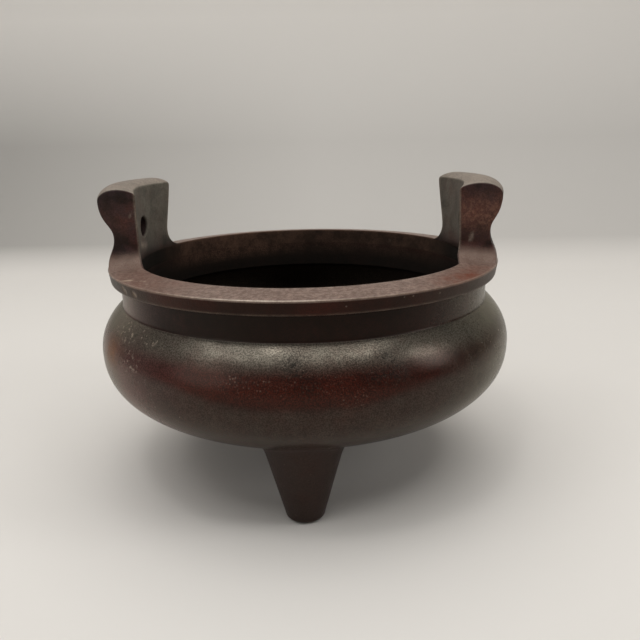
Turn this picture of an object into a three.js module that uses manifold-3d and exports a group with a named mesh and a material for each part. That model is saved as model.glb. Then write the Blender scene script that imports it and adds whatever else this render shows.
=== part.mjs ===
// Tripod incense burner: a squat cast bronze bowl on three conical legs, with a sloping rim and two
// upright pierced ears that carry on the wall of the mouth.
// Millimetres, +Z up. The origin is on the ground under the middle of the bowl, the front leg lies
// towards -Y and the ears stand on the X axis.
import * as THREE from 'three';
import { mergeVertices } from 'three/addons/utils/BufferGeometryUtils.js';
import Module from 'manifold-3d';

const wasm = await Module();
wasm.setup();

// Bowl: belly, shoulder crease, neck
const bellyRadius = 71;
const neckInset = 8;
const neckWall = 6.8;
const groundClearance = 19.3;
const lowerBellyHeight = 28.9;
const lowerRoundness = 2.44;
const shoulderSpread = 29;
const shoulderRise = 21;
const neckHeight = 7.9;
const bellyWall = 5;
const floorThickness = 5.5;

// Rim ring
const rimOverhang = 3.6;
const rimUndercut = 0.7;
const rimInnerHeight = 5.6;
const rimBandHeight = 4.1;
const rimEdgeRound = 0.5;
const rimLedge = 2;

// Ears: radii are measured from the axis of the bowl, heights from the inner edge of the rim
const earWidth = 39.5;
const earTopWidth = 44.4;
const earHeight = 25.6;
const earHeadDepth = 10.9;
const earDomeHeight = 4;
const earInnerEdge = 2.8;
const earWaistDepth = 7.5;
const earWaistHeight = 8.9;
const earCrown = 1.2;
const earFootFillet = 6.5;
const earFlareEase = 0.42;
const earSwellEase = 0.4;
const earHoleHeight = 10;
const earHoleRadius = 3.5;
const earHoleLip = 1.2;
const earTongueWidth = 20;
const earTongueThickness = 2.4;
const earTongueDepth = 5;

// Legs: the inset is from the widest part of the belly to the axis of a leg
const legInset = 24.5;
const legFootRadius = 5.8;
const legFootRound = 2;
const legRootRadius = 13.8;
const legTenonRadius = 4;

// Fits, and how far a cutting shape runs past the face that it cuts
const clearance = 0.3;
const overcut = 1;

// The legs stand a third of a turn apart: front, rear right, rear left
const legTurns = [0, (2 * Math.PI) / 3, (-2 * Math.PI) / 3];

// How finely round shapes are divided
const bowlSegments = 72;
const smallSegments = 24;
const bellySteps = 12;
const shoulderSteps = 6;
const edgeSteps = 4;
const flareSteps = 9;
const swellSteps = 8;
const earDepthSteps = 10;
const earWidthSteps = 10;

// Radii and levels that follow from the sizes above
const neckRadius = bellyRadius - neckInset;
const mouthRadius = neckRadius - neckWall;
const rimRadius = neckRadius + rimOverhang;
const legCircleRadius = bellyRadius - legInset;
const bellyLevel = groundClearance + lowerBellyHeight;
const shoulderCentre = bellyRadius - shoulderSpread;
const creaseAngle = Math.acos((neckRadius - shoulderCentre) / shoulderSpread);
const neckTopLevel = bellyLevel + shoulderRise * Math.sin(creaseAngle) + neckHeight;
const rimInnerLevel = neckTopLevel + rimInnerHeight;
const rimOuterLevel = neckTopLevel + rimBandHeight;
const rimSlope = (rimInnerLevel - rimOuterLevel) / (rimRadius - mouthRadius);
const earSeatLevel = neckTopLevel + rimLedge;
const earTopLevel = rimInnerLevel + earHeight;
const earHeadLevel = earTopLevel - earDomeHeight;
const earWaistLevel = rimInnerLevel + earWaistHeight;

const point = (x, y) => new THREE.Vector2(x, y);

// A closed geometry becomes a solid once equal corners are shared and empty triangles are dropped.
function solidFrom(geometry) {
  const bare = geometry.clone();
  bare.deleteAttribute('normal');
  bare.deleteAttribute('uv');
  const merged = mergeVertices(bare);
  const corners = merged.index.array;
  const triangles = [];
  for (let i = 0; i < corners.length; i += 3) {
    const [a, b, c] = [corners[i], corners[i + 1], corners[i + 2]];
    if (a !== b && b !== c && c !== a) triangles.push(a, b, c);
  }
  return new wasm.Manifold(new wasm.Mesh({
    numProp: 3,
    vertProperties: new Float32Array(merged.attributes.position.array),
    triVerts: new Uint32Array(triangles),
  }));
}

// A profile of (radius, height) points turned about the Z axis.
function turned(profile, segments) {
  return new THREE.LatheGeometry(profile, segments).rotateX(Math.PI / 2);
}

// An upright cylinder between two levels, at a place on the ground plan.
function post(radius, bottom, top, x, y, segments) {
  const cylinder = new THREE.CylinderGeometry(radius, radius, top - bottom, segments);
  return solidFrom(cylinder.rotateX(Math.PI / 2).translate(x, y, (bottom + top) / 2));
}

// A block between two corners.
function block(low, high) {
  const size = high.clone().sub(low);
  const middle = low.clone().add(high).multiplyScalar(0.5);
  return solidFrom(new THREE.BoxGeometry(size.x, size.y, size.z).translate(middle.x, middle.y, middle.z));
}

// The belly below its widest level is a quarter of the curve (r/a)^n + (z/b)^n = 1, listed upwards
// from the axis; "out" moves it outwards, or inwards where it is negative.
function lowerBelly(out, depth) {
  const points = [point(0, bellyLevel - depth)];
  for (let i = 1; i <= bellySteps; i += 1) {
    const angle = (Math.PI / 2) * (1 - i / bellySteps);
    const radius = (bellyRadius + out) * Math.cos(angle) ** (2 / lowerRoundness);
    points.push(point(radius, bellyLevel - depth * Math.sin(angle) ** (2 / lowerRoundness)));
  }
  return points;
}

// The shoulder is an arc of an ellipse, from the widest level in to the radius of the neck or mouth.
function shoulder(out, endRadius) {
  const spread = shoulderSpread + out;
  const rise = shoulderRise + out;
  const endAngle = Math.acos((endRadius - shoulderCentre) / spread);
  const arc = new THREE.EllipseCurve(shoulderCentre, bellyLevel, spread, rise, 0, endAngle);
  return arc.getPoints(shoulderSteps).slice(1);
}

// Level of the lower belly's outer face at a distance from the axis.
function bellyFaceLevel(radius) {
  const share = Math.min(1, radius / bellyRadius) ** lowerRoundness;
  return bellyLevel - lowerBellyHeight * (1 - share) ** (1 / lowerRoundness);
}

function bowlOuterProfile(out) {
  return [
    ...lowerBelly(out, lowerBellyHeight + out),
    ...shoulder(out, neckRadius + out),
    point(neckRadius + out, neckTopLevel),
  ];
}

function bowlInnerProfile() {
  return [
    ...lowerBelly(-bellyWall, lowerBellyHeight - floorThickness),
    ...shoulder(-bellyWall, mouthRadius),
    point(mouthRadius, neckTopLevel),
  ];
}

// The slot that an ear's tongue takes through the rim ring and into the neck, for the ear on +X.
// "gap" widens it on every side.
function tongueShape(gap, top) {
  const middle = (mouthRadius + neckRadius) / 2;
  const inner = middle - earTongueThickness / 2 - gap;
  const outer = middle + earTongueThickness / 2 + gap;
  const bottom = neckTopLevel - earTongueDepth - gap;
  const band = [
    point(inner, bottom),
    point(outer, bottom),
    point(outer, top),
    point(inner, top),
    point(inner, bottom),
  ];
  const reach = block(
    new THREE.Vector3(0, -earTongueWidth / 2 - gap, bottom - overcut),
    new THREE.Vector3(neckRadius, earTongueWidth / 2 + gap, top + overcut),
  );
  return solidFrom(turned(band, bowlSegments)).intersect(reach);
}

function bothSides(solid) {
  return solid.add(solid.rotate([0, 0, 180]));
}

function makeBowl() {
  const profile = [...bowlOuterProfile(0), ...bowlInnerProfile().reverse()];
  let bowl = solidFrom(turned(profile, bowlSegments));
  const legHole = post(legTenonRadius + clearance, 0, bellyLevel, 0, -legCircleRadius, smallSegments);
  for (const turn of legTurns) bowl = bowl.subtract(legHole.rotate([0, 0, THREE.MathUtils.radToDeg(turn)]));
  return bowl.subtract(bothSides(tongueShape(clearance, neckTopLevel + overcut)));
}

// The rim's outer face leans in slightly towards its lower edge.
function rimFace(level) {
  const below = (rimOuterLevel - level) / rimBandHeight;
  return point(rimRadius - rimUndercut * below, level);
}

const rimTopEdge = point(rimRadius - rimEdgeRound, rimOuterLevel + rimSlope * rimEdgeRound);

function makeRimRing() {
  const profile = [
    point(mouthRadius, neckTopLevel),
    point(rimRadius - rimUndercut - rimEdgeRound, neckTopLevel),
    rimFace(neckTopLevel + rimEdgeRound),
    rimFace(rimOuterLevel - rimEdgeRound),
    rimTopEdge,
    point(mouthRadius + rimEdgeRound, rimInnerLevel - rimSlope * rimEdgeRound),
    point(mouthRadius, rimInnerLevel - rimEdgeRound),
    point(mouthRadius, neckTopLevel),
  ];
  const seatHalf = earWidth / 2 + earFootFillet + clearance;
  const seat = block(
    new THREE.Vector3(0, -seatHalf, earSeatLevel),
    new THREE.Vector3(rimRadius + overcut, seatHalf, rimInnerLevel + overcut),
  );
  const ring = solidFrom(turned(profile, bowlSegments));
  return ring.subtract(bothSides(seat)).subtract(bothSides(tongueShape(clearance, rimInnerLevel)));
}

// Outer side of an ear in a plane through the axis of the bowl, listed upwards: the face of the rim, a
// flare in to the waist, and a swell out to the head.
function earOuterSide() {
  const headRadius = mouthRadius + earHeadDepth;
  const waistRadius = mouthRadius + earWaistDepth;
  const flareHeight = earWaistLevel - rimTopEdge.y;
  const swellHeight = earHeadLevel - earWaistLevel;
  const flare = new THREE.CubicBezierCurve(
    rimTopEdge,
    point(rimTopEdge.x, rimTopEdge.y + flareHeight * earFlareEase),
    point(waistRadius, earWaistLevel - flareHeight * earFlareEase),
    point(waistRadius, earWaistLevel),
  );
  const swell = new THREE.CubicBezierCurve(
    point(waistRadius, earWaistLevel),
    point(waistRadius, earWaistLevel + swellHeight * earSwellEase),
    point(headRadius, earHeadLevel - swellHeight * earSwellEase),
    point(headRadius, earHeadLevel),
  );
  return [
    rimFace(earSeatLevel),
    rimFace(rimOuterLevel - rimEdgeRound),
    ...flare.getPoints(flareSteps),
    ...swell.getPoints(swellSteps).slice(1),
  ];
}

// Inner side of an ear, a straight wall over the mouth: a point across from each point of the outer side.
// On the rim it lies higher than that point, as the rim's top does, and at the head it is level with it.
function earInnerSide(outerSide) {
  const slant = rimSlope * (rimRadius - mouthRadius);
  return outerSide.map(({ y }) => {
    const share = (y - earSeatLevel) / (rimOuterLevel - earSeatLevel);
    const fade = (earHeadLevel - y) / (earHeadLevel - rimOuterLevel);
    return point(mouthRadius, y + slant * Math.min(1, share, fade));
  });
}

// Half the width of an ear at a height above the sloping top of the rim: it runs into the rim in a
// hollow curve and widens a little towards the top.
function earHalfWidth(above) {
  const half = earWidth / 2;
  if (above >= earFootFillet) {
    const rise = (above - earFootFillet) / (earHeight - earFootFillet);
    return half + (earTopWidth / 2 - half) * rise;
  }
  const drop = earFootFillet - Math.max(0, above);
  return half + earFootFillet - Math.sqrt(earFootFillet ** 2 - drop ** 2);
}

// Rise of the domed head above its lower edge, at a share of the ear's depth from its inner face: half
// of (r/a)^n + (z/b)^n = 1, with a tighter curve towards the mouth.
function earDomeRise(depthShare) {
  const fromCrest = Math.min(1, Math.abs(2 * depthShare - 1));
  const power = depthShare < 0.5 ? earInnerEdge : 2;
  return earDomeHeight * (1 - fromCrest ** power) ** (1 / power);
}

// An ear starts as a block divided into a grid. Each corner of the grid is moved to its place: inwards or
// outwards between the two sides, up to the dome on the top row, and across the width along the circle
// of the mouth. The head drops by the crown towards both ends.
function earBlank() {
  const outerSide = earOuterSide();
  const innerSide = earInnerSide(outerSide);
  const rows = outerSide.length - 1;
  const blank = new THREE.BoxGeometry(2, 2, 2, earDepthSteps, earWidthSteps, rows);
  const place = blank.attributes.position;
  for (let i = 0; i < place.count; i += 1) {
    const rowShare = (place.getZ(i) + 1) / 2;
    const row = Math.round(rowShare * rows);
    const depthShare = (1 + Math.sin((Math.PI / 2) * place.getX(i))) / 2;
    const spot = innerSide[row].clone().lerp(outerSide[row], depthShare);
    if (row === rows) spot.y += earDomeRise(depthShare);
    const aboveRim = spot.y - rimInnerLevel + rimSlope * (spot.x - mouthRadius);
    const across = place.getY(i) * earHalfWidth(aboveRim);
    const aboveWaist = Math.max(0, spot.y - earWaistLevel) / (earTopLevel - earWaistLevel);
    const drop = earCrown * place.getY(i) ** 2 * aboveWaist;
    place.setXYZ(i, Math.sqrt(spot.x ** 2 - across ** 2), across, spot.y - drop);
  }
  return solidFrom(blank);
}

// The round hole through an ear, along X, opening out at both lips.
function earHole() {
  const inner = mouthRadius;
  const outer = mouthRadius + earWaistDepth;
  const wide = earHoleRadius + earHoleLip;
  const profile = [
    point(0, inner - earHoleLip),
    point(wide, inner - earHoleLip),
    point(wide, inner),
    point(earHoleRadius, inner + earHoleLip),
    point(earHoleRadius, outer - earHoleLip),
    point(wide, outer),
    point(wide, outer + earHeadDepth),
    point(0, outer + earHeadDepth),
  ];
  const cutter = new THREE.LatheGeometry(profile, smallSegments).rotateZ(-Math.PI / 2);
  return solidFrom(cutter.translate(0, 0, rimInnerLevel + earHoleHeight));
}

function makeEar() {
  return earBlank().subtract(earHole()).add(tongueShape(0, earSeatLevel + overcut));
}

// A leg is a round cone with an eased foot. Its top fits the underside of the belly, and its tenon
// passes through the floor and ends flush with the inside. It is drawn in its place on -Y.
function makeLeg() {
  const rootLevel = bellyFaceLevel(legCircleRadius + legRootRadius);
  const footEase = new THREE.EllipseCurve(
    legFootRadius - legFootRound,
    legFootRound,
    legFootRound + (legRootRadius - legFootRadius) * (legFootRound / rootLevel),
    legFootRound,
    -Math.PI / 2,
    0,
  );
  const profile = [
    point(0, 0),
    ...footEase.getPoints(edgeSteps),
    point(legRootRadius, rootLevel),
    point(0, rootLevel),
  ];
  const belly = solidFrom(turned([...bowlOuterProfile(clearance), point(0, neckTopLevel)], bowlSegments));
  const hollow = solidFrom(turned([...bowlInnerProfile(), point(0, neckTopLevel)], bowlSegments));
  const cone = solidFrom(turned(profile, smallSegments)).translate([0, -legCircleRadius, 0]).subtract(belly);
  const tenonBottom = bellyFaceLevel(legCircleRadius - legTenonRadius) - legTenonRadius;
  const tenon = post(legTenonRadius, tenonBottom, bellyLevel, 0, -legCircleRadius, smallSegments);
  return cone.add(tenon.subtract(hollow));
}

function bronze(color, roughness) {
  return new THREE.MeshStandardMaterial({ color, roughness, metalness: 0.9 });
}

// A named piece, turned about the axis of the bowl.
function piece(name, solid, material, turn = 0) {
  const { vertProperties, triVerts } = solid.getMesh();
  const geometry = new THREE.BufferGeometry();
  geometry.setAttribute('position', new THREE.BufferAttribute(vertProperties, 3));
  geometry.setIndex(new THREE.BufferAttribute(triVerts, 1));
  geometry.computeVertexNormals();
  const mesh = new THREE.Mesh(geometry, material);
  mesh.name = name;
  mesh.rotation.z = turn;
  return mesh;
}

const bowlBronze = bronze('#3a231d', 0.45);
const rimBronze = bronze('#5f4a42', 0.5);
const earBronze = bronze('#4a332c', 0.55);
const legBronze = bronze('#2c2523', 0.5);

const ear = makeEar();
const leg = makeLeg();

const burner = new THREE.Group();
burner.add(
  piece('bowl', makeBowl(), bowlBronze),
  piece('rim_ring', makeRimRing(), rimBronze),
  piece('right_ear', ear, earBronze),
  piece('left_ear', ear, earBronze, Math.PI),
  piece('front_leg', leg, legBronze, legTurns[0]),
  piece('rear_right_leg', leg, legBronze, legTurns[1]),
  piece('rear_left_leg', leg, legBronze, legTurns[2]),
);

export default burner;
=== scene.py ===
import math
import bpy
import numpy as np
from mathutils import Matrix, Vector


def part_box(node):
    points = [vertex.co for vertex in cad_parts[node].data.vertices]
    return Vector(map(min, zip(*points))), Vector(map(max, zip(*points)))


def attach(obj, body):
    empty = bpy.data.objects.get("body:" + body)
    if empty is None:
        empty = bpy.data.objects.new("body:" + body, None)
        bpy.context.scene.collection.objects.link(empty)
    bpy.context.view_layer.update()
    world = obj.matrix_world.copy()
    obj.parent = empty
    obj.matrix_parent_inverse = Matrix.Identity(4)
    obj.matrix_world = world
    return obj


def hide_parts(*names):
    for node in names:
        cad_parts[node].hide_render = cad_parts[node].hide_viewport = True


# A squat tripod incense burner in cast bronze with an old brown patina.
# Lengths are in millimetres until a mesh is made. Angles round the bowl are in degrees, 0 at the front leg
# and 90 at the right ear.
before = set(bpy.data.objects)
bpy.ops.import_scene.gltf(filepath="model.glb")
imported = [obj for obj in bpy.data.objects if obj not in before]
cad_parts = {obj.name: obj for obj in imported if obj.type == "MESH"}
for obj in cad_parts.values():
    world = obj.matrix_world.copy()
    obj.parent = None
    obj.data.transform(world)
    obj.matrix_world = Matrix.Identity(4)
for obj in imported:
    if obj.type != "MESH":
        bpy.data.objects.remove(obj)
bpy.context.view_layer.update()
mm = 0.001
bowlLow, bowlHigh = (np.array(corner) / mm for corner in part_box("bowl"))
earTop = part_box("right_ear")[1][2] / mm
print("frame loaded")


# Meshes

sharpAngle = 40  # degrees between two faces, past which their edge shows as sharp


def facesBetween(rows, steps, joinEnds):
    # four-cornered faces between neighbouring loops of points; every loop closes on itself
    row = np.arange(rows if joinEnds else rows - 1)[:, None]
    step = np.arange(steps)[None, :]
    here, above = row * steps, (row + 1) % rows * steps
    nextStep = (step + 1) % steps
    corners = [here + step, here + nextStep, above + nextStep, above + step]
    return np.stack(corners, -1).reshape(-1, 4)


def addSurface(name, loops, poles=None, masks=None):
    # loops[row, step] are points; poles close the first and last loop, and without them the rows join up
    rows, steps = loops.shape[:2]
    points = loops.reshape(-1, 3)
    faces = facesBetween(rows, steps, poles is None).tolist()
    if poles is not None:
        step = np.arange(steps)
        nextStep = (step + 1) % steps
        last = (rows - 1) * steps
        start = np.stack([np.full(steps, len(points)), nextStep, step], -1)
        end = np.stack([np.full(steps, len(points) + 1), last + step, last + nextStep], -1)
        faces += start.tolist() + end.tolist()
        points = np.concatenate([points, np.array(poles, float)])
    mesh = bpy.data.meshes.new(name)
    mesh.from_pydata((points * mm).tolist(), [], faces)
    mesh.polygons.foreach_set("use_smooth", np.ones(len(mesh.polygons), bool))
    for maskName, values in (masks(points) if masks else {}).items():
        layer = mesh.attributes.new(maskName, "FLOAT", "POINT")
        layer.data.foreach_set("value", np.clip(values, 0, 1).astype(np.float32))
    mesh.set_sharp_from_angle(angle=math.radians(sharpAngle))
    mesh.update()
    piece = bpy.data.objects.new(name, mesh)
    bpy.context.scene.collection.objects.link(piece)
    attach(piece, "root")
    print(name, "has", len(mesh.polygons), "faces")
    return piece


def between(ends, share):
    # a straight line from the first end, at a share of 0, to the second, at 1
    return ends[0] + (ends[1] - ends[0]) * share


def easedCorner(before, corner, after, reach, steps=6):
    # a corner rounded by a parabola that leaves each side at a distance of reach
    before, corner, after = (np.array(p, float) for p in (before, corner, after))
    first, last = (corner + (p - corner) / np.linalg.norm(p - corner) * reach for p in (before, after))
    t = np.linspace(0, 1, steps + 1)[:, None]
    return (1 - t) ** 2 * first + 2 * t * (1 - t) * corner + t ** 2 * last


def spaced(profile, spacing):
    # the same line with points added on it, so that no two are further apart than spacing
    profile = np.array(profile, float)
    span = np.diff(profile, axis=0)
    counts = np.maximum(np.ceil(np.linalg.norm(span, axis=1) / spacing), 1).astype(int)
    order = np.arange(counts.sum()) - np.repeat(np.cumsum(counts) - counts, counts)
    share = (order / np.repeat(counts, counts))[:, None]
    added = np.repeat(profile[:-1], counts, axis=0) + share * np.repeat(span, counts, axis=0)
    return np.concatenate([added, profile[-1:]])


def turned(profile, angles):
    # point = (radius sin t, -radius cos t, level), t going once round
    radius, level = profile[:, :1], profile[:, 1:]
    return np.stack([radius * np.sin(angles), -radius * np.cos(angles), level + 0 * angles], -1)


def roundTurn(steps, crowding):
    # angles once round, closer together at the front: t = s - crowding sin s
    s = np.linspace(0, 2 * np.pi, steps, endpoint=False)
    return s - crowding * np.sin(s)


def angleRound(points):
    # degrees round the bowl
    return np.degrees(np.arctan2(points[..., 0], -points[..., 1]))


# The casting is a little uneven.
casting = {
    "uneven": 0.16,  # the most that a point lies in towards the axis
    "fade": (5, 30),  # none of it below the first radius, all of it above the second
    # waves: how many go round the bowl, how fast they turn with the height, where they start
    "waves": [(2, 0.031, 0.4), (3, 0.047, 2.1), (5, 0.083, 4.4), (9, 0.12, 1.3)],
}


def castUneven(points):
    # every point moves towards the axis by a sum of slow sine waves of its angle and height
    angle, level = np.radians(angleRound(points)), points[..., 2]
    total = sum(np.sin(turns * angle + rise * level + start) for turns, rise, start in casting["waves"])
    inward = casting["uneven"] * (0.5 + 0.5 * total / len(casting["waves"]))
    radius = np.maximum(np.hypot(points[..., 0], points[..., 1]), 1)
    scale = 1 - inward / radius * smoothStep(*casting["fade"], radius)
    return points * np.stack([scale, scale, np.ones_like(scale)], -1)


# Masks say how strongly a finish shows at each point, from 0 to 1. Where a mask is described by a pair of
# numbers, it is 0 at the first and 1 at the second.

def smoothStep(low, high, value):
    # 0 at low, 1 at high, an S curve between
    share = np.clip((value - low) / (high - low), 0, 1)
    return share * share * (3 - 2 * share)


def bandCover(value, middle, reach):
    # 1 in the middle of a band and falling off as exp(-((value - middle) / reach)^2)
    return np.exp(-((value - middle) / reach) ** 2)


def spotCover(across, up, spot):
    # the same in two directions; a spot is its middle, across and up, and its reach, across and up
    return bandCover(across, spot[0], spot[2]) * bandCover(up, spot[1], spot[3])


def strokeCover(points, strokes):
    # 1 on the nearest stroke and falling off round it as exp(-(distance / size)^2); a stroke is a short
    # straight line between two points, with its size as the seventh number
    cover = np.zeros(len(points))
    for stroke in strokes:
        start, end, size = np.array(stroke[:3]), np.array(stroke[3:6]), stroke[6]
        along = end - start
        share = np.clip((points - start) @ along / (along @ along), 0, 1)[:, None]
        distance = np.linalg.norm(points - start - share * along, axis=1)
        cover = np.maximum(cover, bandCover(distance, 0, size))
    return cover


# Bowl

bowl = {
    "bellyLevel": 48.2,  # height of the widest place
    "roundness": 2.44,  # 2 is an ellipse, more is fuller
    "shoulderSpread": 29.0,
    "shoulderRise": 21.0,
    "neckInset": 8.0,
    "neckWall": 6.8,
    "wall": 5.0,
    "floor": 5.5,
    "creaseReach": 0.45,  # hollow where the shoulder meets the neck
    "creaseStart": -9,  # point of the shoulder's arc that gives its slope at the crease
    "bellyPoints": 64,
    "shoulderPoints": 60,
    "bellySpacing": 1.2,
    "shoulderSpacing": 0.6,
    "insideSpacing": 2.0,
    "steps": 320,
    "crowding": 0.45,
}
bellyRadius = bowlHigh[0]
neckRadius = bellyRadius - bowl["neckInset"]
mouthRadius = neckRadius - bowl["neckWall"]
neckTop = bowlHigh[2]
bellyDepth = bowl["bellyLevel"] - bowlLow[2]
shoulderCentre = bellyRadius - bowl["shoulderSpread"]
farOut = 1000  # a radius further out than any point


def lowerBelly(radius, depth):
    # a quarter of (r/a)^n + (z/b)^n = 1 from the axis up to the widest place
    t = np.linspace(np.pi / 2, 0, bowl["bellyPoints"])
    power = 2 / bowl["roundness"]
    return np.stack([radius * np.cos(t) ** power, bowl["bellyLevel"] - depth * np.sin(t) ** power], -1)


def shoulderArc(out, endRadius):
    # an arc of an ellipse from the widest place in to endRadius
    spread, rise = bowl["shoulderSpread"] + out, bowl["shoulderRise"] + out
    t = np.linspace(0, math.acos((endRadius - shoulderCentre) / spread), bowl["shoulderPoints"])
    return np.stack([shoulderCentre + spread * np.cos(t), bowl["bellyLevel"] + rise * np.sin(t)], -1)


def bellyFace(radius):
    # height of the outside of the lower belly at a distance from the axis
    share = np.clip(radius / bellyRadius, 0, 1) ** bowl["roundness"]
    return bowl["bellyLevel"] - bellyDepth * (1 - share) ** (1 / bowl["roundness"])


def shoulderFace(level):
    # radius of the outside at a height above the widest place, and farOut below it
    up = np.clip((level - bowl["bellyLevel"]) / bowl["shoulderRise"], 0, 1)
    arc = shoulderCentre + bowl["shoulderSpread"] * np.sqrt(1 - up ** 2)
    return np.where(level < bowl["bellyLevel"], farOut, np.maximum(arc, neckRadius))


# Inside, the soot and painted shade are thin on the far half, which is stained brown most at the back on the
# left.
stain = {"farHalf": (100, 125), "patch": (-140, 28)}


def stained(angle, least):
    farHalf = smoothStep(*stain["farHalf"], np.abs(angle))
    return farHalf * between((least, 1), bandCover(angle, *stain["patch"]))


bowlSkin = {
    "skinDepth": 3.0,  # a point further in than this from the outside belongs to the inside
    # painted shade with the soot: darker with depth down the mouth, to near black
    "sootAndShadeLevels": (75.5, 67),
    "ashLevels": (61, 58.5),
    "stainLevels": (64, 69),
    "stainLeast": 0.3,
    "frontAngle": -8,  # the middle of the neck's painted shade and of the red band
    # painted shade: the neck below the rim is darkened to near black, less so towards the sides
    "paintedNeckShadeLevels": (62.3, 62.6),
    "paintedNeckShadeEnds": (30, 52),
    "paintedNeckShadeLoss": 0.95,
    "redBand": (51, 5.6),  # height of its middle, and its reach
    "redBandEnds": (55, 12),
    "bandFoot": (47, 51),  # height of its foot in front and at the sides
    "bandFootSides": (10, 35),
    "bandFootFade": (-1.5, 1),
    "bloomLevels": (54.5, 60),
    "bloomTop": (62.65, 62.4),
    "underFade": (1, -2.5),
    "underLevels": (24, 36),
    "flankAngles": (32, 62),
    "clearOfFloor": (21, 30),
    "plumFront": (-22, -50),
    "plumBack": (-130, -100),
    "rustSpot": (-57, 52.5, 5, 4),
    # the coarse belt: rougher relief, and painted glints in the colour
    "coarseAndGlintBelt": (2, 53.5, 17, 3.5),
    # dark pitted patches on the front of the shoulder
    "patches": [
        (-1.5, -67.0, 58.0, 2.5, -69.5, 52.5, 3.2), (24.0, -63.0, 58.0, 25.5, -63.5, 55.5, 3.0),
        (19.0, -66.8, 54.0, 27.0, -64.0, 53.5, 2.6),
    ],
    # where the skin is knocked and flecked, left of the shoulder
    "flecked": [
        (-57.0, -34.0, 59.5, -50.0, -43.0, 58.5, 4.0), (-47.0, -45.0, 60.0, -42.0, -50.0, 59.0, 2.5),
        (-52.0, -46.0, 54.0, -49.0, -50.0, 52.0, 3.0),
    ],
    "fleckedTop": (62.6, 62.0),
    "scuffed": [
        (11.0, -70.0, 48.2, 16.0, -69.3, 48.8, 2.2), (-20.0, -66.0, 53.5, -10.0, -69.0, 53.0, 3.0),
    ],
}


def bowlMasks(points):
    skin = bowlSkin
    radius = np.hypot(points[:, 0], points[:, 1])
    level = points[:, 2]
    angle = angleRound(points)
    fromFront = np.abs(angle - skin["frontAngle"])
    aboveFace = level > bellyFace(radius) + skin["skinDepth"]
    inside = aboveFace & (radius < shoulderFace(level) - skin["skinDepth"])
    outside = ~inside
    clearOfFloor = smoothStep(*skin["clearOfFloor"], level)
    plum = smoothStep(*skin["plumFront"], angle) * smoothStep(*skin["plumBack"], angle) * clearOfFloor
    toSide = smoothStep(*skin["bandFootSides"], np.abs(angle))
    aboveFoot = level - between(skin["bandFoot"], toSide)
    redBand = bandCover(level, *skin["redBand"]) * smoothStep(*skin["redBandEnds"], fromFront)
    under = smoothStep(*skin["underFade"], aboveFoot) * smoothStep(*skin["underLevels"], level)
    neckPaintedShadeLoss = skin["paintedNeckShadeLoss"] * smoothStep(*skin["paintedNeckShadeEnds"], fromFront)
    patches = strokeCover(points, skin["patches"])
    flecked = strokeCover(points, skin["flecked"]) * smoothStep(*skin["fleckedTop"], level)
    return {
        "sootAndShade": inside * smoothStep(*skin["sootAndShadeLevels"], level),
        "ash": inside * smoothStep(*skin["ashLevels"], level),
        "stain": inside * stained(angle, skin["stainLeast"]) * smoothStep(*skin["stainLevels"], level),
        "paintedNeckShade": outside * smoothStep(*skin["paintedNeckShadeLevels"], level) * (1 - neckPaintedShadeLoss),
        "redBand": outside * redBand * smoothStep(*skin["bandFootFade"], aboveFoot),
        "bloom": outside * smoothStep(*skin["bloomLevels"], level) * smoothStep(*skin["bloomTop"], level),
        "under": outside * under,
        "flank": outside * smoothStep(*skin["flankAngles"], np.abs(angle)) * clearOfFloor,
        "plum": outside * plum,
        "rustSpot": outside * spotCover(angle, level, skin["rustSpot"]),
        "coarseAndGlints": outside * np.maximum(spotCover(angle, level, skin["coarseAndGlintBelt"]), patches),
        "pitted": outside * patches,
        "knocked": outside * flecked,
        "scuff": outside * strokeCover(points, skin["scuffed"]),
    }


def makeBowl():
    # one profile turned round the axis: up the outside, across the top of the neck and down the inside
    lower = lowerBelly(bellyRadius, bellyDepth)
    arc = shoulderArc(0, neckRadius)
    crease = easedCorner(arc[bowl["creaseStart"]], arc[-1], (neckRadius, neckTop), bowl["creaseReach"])
    keep = arc[1:][np.linalg.norm(arc[1:] - arc[-1], axis=1) > bowl["creaseReach"]]
    neck = np.array([(neckRadius, neckTop), (mouthRadius, neckTop)])
    innerLower = lowerBelly(bellyRadius - bowl["wall"], bellyDepth - bowl["floor"])
    innerArc = shoulderArc(-bowl["wall"], mouthRadius)
    inner = np.concatenate([neck[1:], innerArc[::-1], innerLower[-2::-1]])
    profile = np.concatenate([
        spaced(lower, bowl["bellySpacing"])[:-1],
        spaced(np.concatenate([lower[-1:], keep, crease, neck[:1]]), bowl["shoulderSpacing"]),
        spaced(neck, bowl["insideSpacing"])[1:-1],
        spaced(inner, bowl["insideSpacing"]),
    ])
    loops = castUneven(turned(profile[1:-1], roundTurn(bowl["steps"], bowl["crowding"])))
    poles = [(0, 0, profile[0, 1]), (0, 0, profile[-1, 1])]
    piece = addSurface("bowl_shell", loops, poles, bowlMasks)
    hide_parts("bowl")
    return piece


# Rim

rim = {
    "overhang": 3.6,  # out from the neck
    "undercut": 0.7,  # the outer face leans in below
    "bandHeight": 4.45,
    "innerHeight": 5.6,
    "outerEdge": 0.22,
    "lowerEdge": 0.9,
    "innerEdge": 0.5,
    "topEdgeSteps": 4,
    "spacing": 0.55,
    "steps": 1000,
    "crowding": 0.4,
    "chipDepth": 0.25,
    # knocks on the left front, on the top and on the band, and one behind on the right
    "chips": [
        (-52.4, -38.6, 74.9, -50.6, -39.0, 75.1, 0.75), (-53.0, -40.3, 73.0, -52.0, -41.6, 72.3, 0.7),
        (-48.2, -45.6, 72.6, -47.6, -46.2, 72.3, 0.6), (35.0, 44.0, 73.0, 34.8, 44.2, 73.2, 0.5),
    ],
}
rimRadius = neckRadius + rim["overhang"]
rimInnerLevel = neckTop + rim["innerHeight"]
rimOuterLevel = neckTop + rim["bandHeight"]
rimSlope = (rimInnerLevel - rimOuterLevel) / (rimRadius - mouthRadius)
rimCore = ((mouthRadius + rimRadius) / 2, (rimInnerLevel + neckTop) / 2)

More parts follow.
